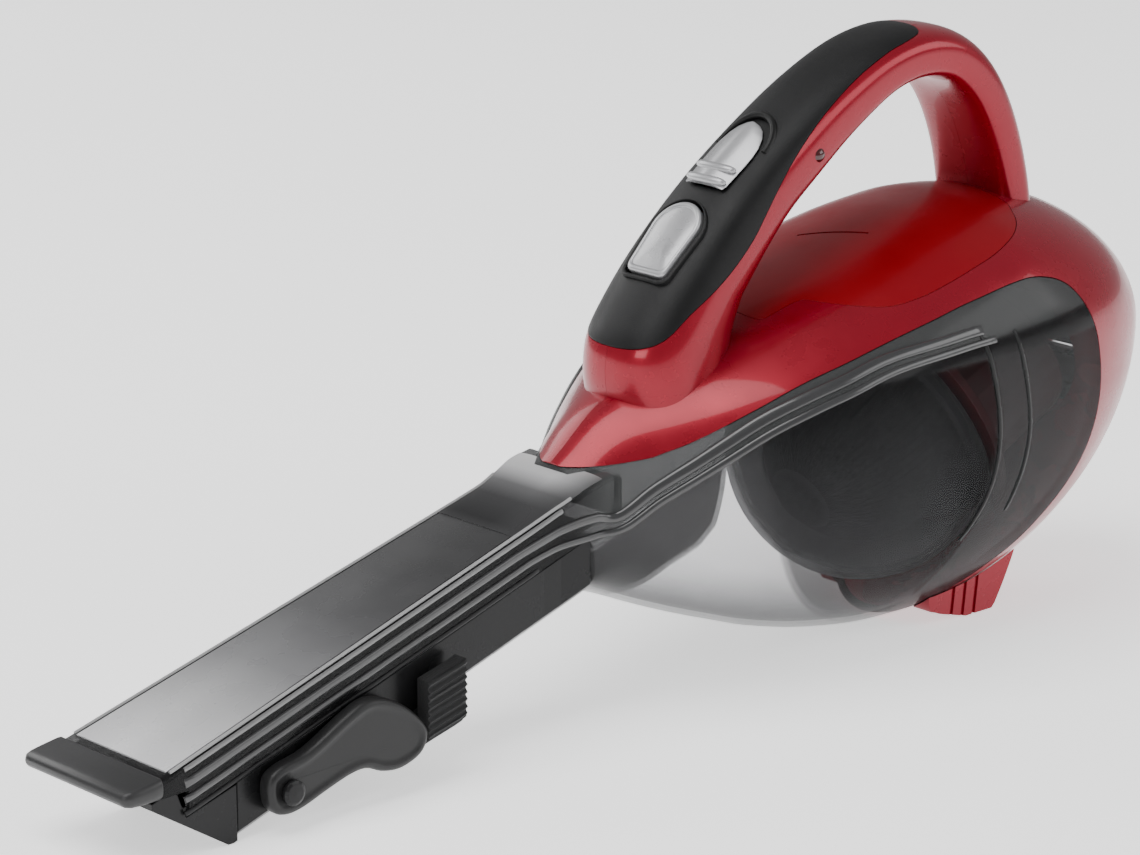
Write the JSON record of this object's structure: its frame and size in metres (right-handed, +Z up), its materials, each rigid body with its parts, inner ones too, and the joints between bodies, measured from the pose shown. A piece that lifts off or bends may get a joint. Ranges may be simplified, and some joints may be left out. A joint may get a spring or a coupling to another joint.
{
  "type": "cordless handheld vacuum",
  "caption": "Cordless handheld vacuum: arched-handle clamshell body, pull-off smoke dust bowl with long nozzle, slide-out crevice tool and flip-over brush.",
  "frame": {"origin": "on the floor, under the middle of the whole length and on the symmetry plane", "axes": "+Z up; +Y from the nozzle towards the tail; +X towards the device's left side as held"},
  "size_m": [0.116, 0.431, 0.1978],
  "materials": {
    "gloss_red": "gloss metallic red",
    "deep_red": "deep gloss red",
    "soft_black": "soft black grip",
    "silver": "silver paint",
    "smoke": "clear smoke",
    "satin_window": "satin smoke",
    "dark_plastic": "dark satin",
    "grey_plastic": "dark grey satin",
    "bristle": "matt black",
    "filter_paper": "pleated fleece",
    "frame_black": "black satin",
    "rubber": "matt",
    "maroon_plastic": "dark red satin",
    "steel": "plain",
    "brass": "plain",
    "cell_wrap": "shrink sleeve",
    "board": "coated board",
    "clear_red": "dark lens"
  },
  "bodies": {
    "housing": {"housing_left": "gloss_red", "housing_right": "gloss_red", "top_panel": "deep_red", "grip_insert": "soft_black", "battery_cell_1": "cell_wrap", "battery_cell_2": "cell_wrap", "battery_cell_3": "cell_wrap", "circuit_board": "board", "switch_module": "frame_black", "spring_seat": "frame_black", "button_spring": "steel", "charge_indicator": "clear_red", "housing_screw_1": "steel", "housing_screw_2": "steel", "housing_screw_3": "steel", "housing_screw_4": "steel", "motor_housing": "maroon_plastic", "motor_mount": "frame_black", "motor_can": "steel", "rear_foot": "gloss_red", "charge_contact_left": "brass", "charge_contact_right": "brass"},
    "fan": {"impeller": "frame_black", "motor_shaft": "steel"},
    "power_slider": {"power_slider": "silver"},
    "release_button": {"release_button": "silver"},
    "release_latch": {"release_latch": "frame_black"},
    "bowl": {"dust_bowl": "smoke", "nozzle_window": "satin_window", "nozzle_lip": "grey_plastic", "nozzle_channel": "dark_plastic", "brush_pin_left": "dark_plastic", "brush_pin_right": "dark_plastic"},
    "filter": {"filter_seal": "rubber", "prefilter_cup": "smoke", "pleated_filter": "filter_paper", "filter_cap": "frame_black"},
    "crevice_tool": {"crevice_tool": "dark_plastic"},
    "crevice_release": {"crevice_release": "grey_plastic"},
    "brush": {"brush_frame": "grey_plastic", "brush_bristles": "bristle"},
    "inlet_flap": {"inlet_flap": "rubber"}
  },
  "joints": [
    {"name": "fan_spin", "type": "hinge", "parent": "housing", "child": "fan", "pos_m": [0, 0.1195, 0.066], "axis": [0, -0.8988, -0.4384], "continuous": true},
    {"name": "power_slide", "type": "slide", "parent": "housing", "child": "power_slider", "axis": [0, -0.8136, -0.5814], "range_m": [0, 0.006]},
    {"name": "button_push", "type": "slide", "parent": "housing", "child": "release_button", "axis": [0, 0.6898, -0.724], "range_m": [0, 0.0025], "stiffness_N_per_m": 400, "springref_m": -0.002, "deforming": ["button_spring"]},
    {"name": "latch_lift", "type": "slide", "parent": "housing", "child": "release_latch", "axis": [0, 0, 1], "range_m": [0, 0.002]},
    {"name": "bowl_pull", "type": "slide", "parent": "housing", "child": "bowl", "axis": [0, -0.8988, -0.4384], "range_m": [0, 0.24]},
    {"name": "filter_pull", "type": "slide", "parent": "housing", "child": "filter", "axis": [0, -0.8988, -0.4384], "range_m": [0, 0.12]},
    {"name": "crevice_slide", "type": "slide", "parent": "bowl", "child": "crevice_tool", "axis": [0, -0.9594, -0.2821], "range_m": [0, 0.1]},
    {"name": "crevice_press", "type": "slide", "parent": "bowl", "child": "crevice_release", "axis": [0, -0.2821, 0.9594], "range_m": [0, 0.001], "stiffness_N_per_m": 400, "springref_m": -0.001},
    {"name": "brush_flip", "type": "hinge", "parent": "bowl", "child": "brush", "pos_m": [0, -0.1585, 0.013], "axis": [-1, 0, 0], "range_deg": [0, 150]},
    {"name": "flap_swing", "type": "hinge", "parent": "bowl", "child": "inlet_flap", "pos_m": [0, -0.0167, 0.0757], "axis": [1, 0, 0], "range_deg": [0, 60], "stiffness_Nm_per_rad": 0.002}
  ],
  "couplings": [
    {"joint": "latch_lift", "follows": "button_push", "ratio": 0.8},
    {"joint": "filter_pull", "follows": "bowl_pull", "ratio": 0.5}
  ]
}
